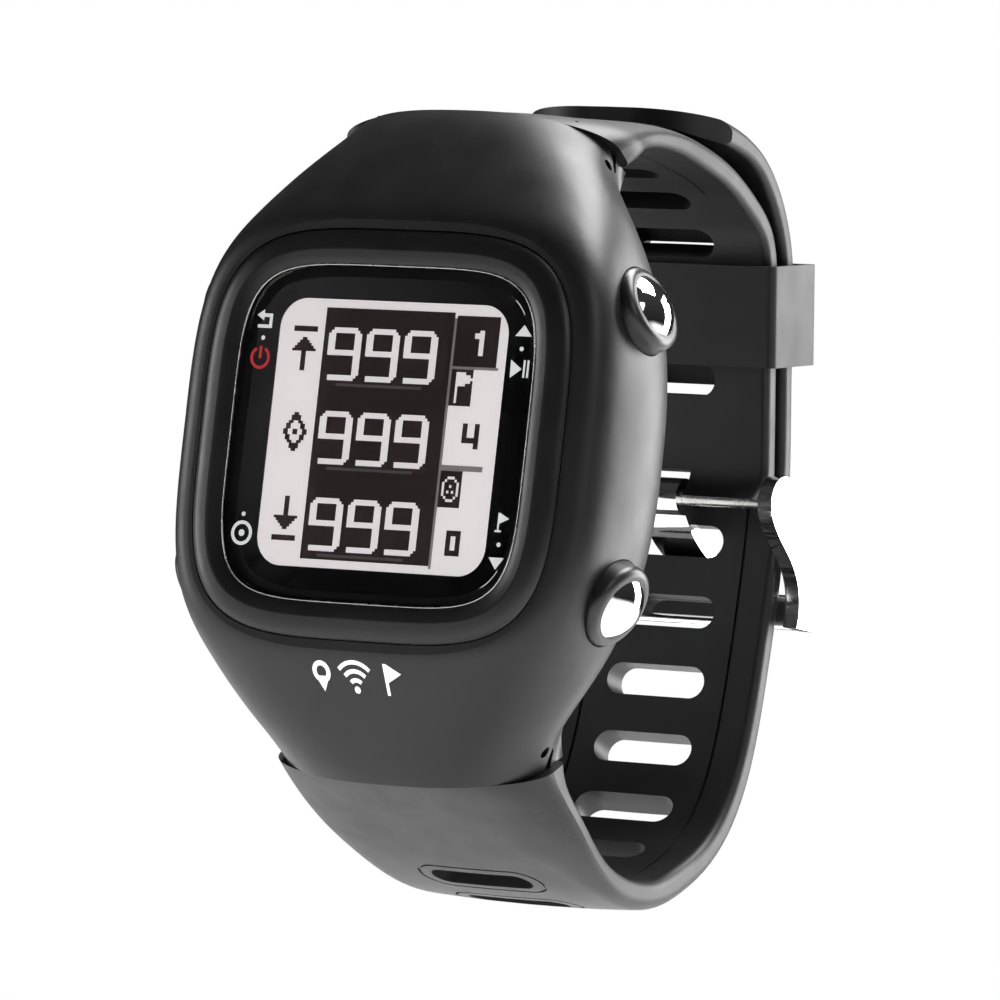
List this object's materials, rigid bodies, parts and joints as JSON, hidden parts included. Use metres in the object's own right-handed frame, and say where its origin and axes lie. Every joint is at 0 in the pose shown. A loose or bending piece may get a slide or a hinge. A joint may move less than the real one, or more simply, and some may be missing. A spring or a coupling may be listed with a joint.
{
  "type": "golf gps watch",
  "caption": "Square-faced golf GPS wrist watch with a barrel case, tilted corner push buttons, a large display, and a slotted rubber strap closed by a buckle and keeper.",
  "frame": {"origin": "centre of the case back's outer face, which rests on the wrist", "axes": "+Y from the display into the wrist, +Z to 12 o'clock, +X to 3 o'clock"},
  "size_m": [0.0478, 0.0602, 0.0736],
  "materials": {
    "shell": "soft-touch matte, dark grey",
    "ring": "satin black",
    "lens": "clear, polished",
    "mask": "black print behind the lens",
    "display": "pale reflective liquid crystal panel",
    "white_plastic": "moulded white",
    "circuit_board": "green solder mask",
    "tin_can": "tin plated",
    "ceramic": "fired ceramic patch",
    "battery_foil": "foil pouch",
    "switch_plastic": "moulded black",
    "back_cover": "fine grain black",
    "seal_rubber": "soft black",
    "steel": "stainless",
    "gold": "gold plated",
    "strap_rubber": "matte moulded, dark grey",
    "keeper_rubber": "matte moulded",
    "buckle_chrome": "polished",
    "button_chrome": "polished",
    "collar_plastic": "satin black"
  },
  "bodies": {
    "watch": {"case_shell": "shell", "bezel_ring": "ring", "lens": "lens", "lens_gasket": "seal_rubber", "display_mask": "mask", "display_panel": "display", "backlight_frame": "white_plastic", "mainboard": "circuit_board", "shield_cans": "tin_can", "gps_antenna": "ceramic", "battery": "battery_foil", "buzzer": "tin_can", "tact_switches": "switch_plastic", "case_back": "back_cover", "case_back_gasket": "seal_rubber", "case_back_screws": "steel", "charging_contacts": "gold", "stem_seals": "seal_rubber", "upper_strap": "strap_rubber", "lower_strap": "strap_rubber", "upper_spring_bar": "steel", "lower_spring_bar": "steel", "buckle_pin": "steel", "button_collar_upper_right": "collar_plastic", "button_spring_upper_right": "steel", "button_collar_upper_left": "collar_plastic", "button_spring_upper_left": "steel", "button_collar_lower_right": "collar_plastic", "button_spring_lower_right": "steel", "button_collar_lower_left": "collar_plastic", "button_spring_lower_left": "steel"},
    "button_upper_right": {"button_cap_upper_right": "button_chrome", "button_clip_upper_right": "steel"},
    "button_upper_left": {"button_cap_upper_left": "button_chrome", "button_clip_upper_left": "steel"},
    "button_lower_right": {"button_cap_lower_right": "button_chrome", "button_clip_lower_right": "steel"},
    "button_lower_left": {"button_cap_lower_left": "button_chrome", "button_clip_lower_left": "steel"},
    "keeper": {"strap_keeper": "keeper_rubber"},
    "buckle": {"buckle_frame": "buckle_chrome"},
    "prong": {"buckle_prong": "buckle_chrome"}
  },
  "joints": [
    {"name": "button_upper_right_press", "type": "slide", "parent": "watch", "child": "button_upper_right", "axis": [-0.9063, 0, -0.4226], "range_m": [0, 0.0007], "stiffness_N_per_m": 3000, "springref_m": -0.0003, "deforming": ["button_spring_upper_right"]},
    {"name": "button_upper_left_press", "type": "slide", "parent": "watch", "child": "button_upper_left", "axis": [0.9063, 0, -0.4226], "range_m": [0, 0.0007], "stiffness_N_per_m": 3000, "springref_m": -0.0003, "deforming": ["button_spring_upper_left"]},
    {"name": "button_lower_right_press", "type": "slide", "parent": "watch", "child": "button_lower_right", "axis": [-0.9063, 0, 0.4226], "range_m": [0, 0.0007], "stiffness_N_per_m": 3000, "springref_m": -0.0003, "deforming": ["button_spring_lower_right"]},
    {"name": "button_lower_left_press", "type": "slide", "parent": "watch", "child": "button_lower_left", "axis": [0.9063, 0, 0.4226], "range_m": [0, 0.0007], "stiffness_N_per_m": 3000, "springref_m": -0.0003, "deforming": ["button_spring_lower_left"]},
    {"name": "keeper_slide", "type": "slide", "parent": "watch", "child": "keeper", "axis": [0, -0.184, 0.9829], "range_m": [-0.0085, 0]},
    {"name": "buckle_swing", "type": "hinge", "parent": "watch", "child": "buckle", "pos_m": [0, 0.0372, 0.001], "axis": [1, 0, 0], "range_deg": [0, 2.5]},
    {"name": "prong_lift", "type": "hinge", "parent": "buckle", "child": "prong", "pos_m": [0, 0.0372, 0.001], "axis": [1, 0, 0], "range_deg": [0, 1.5]}
  ]
}
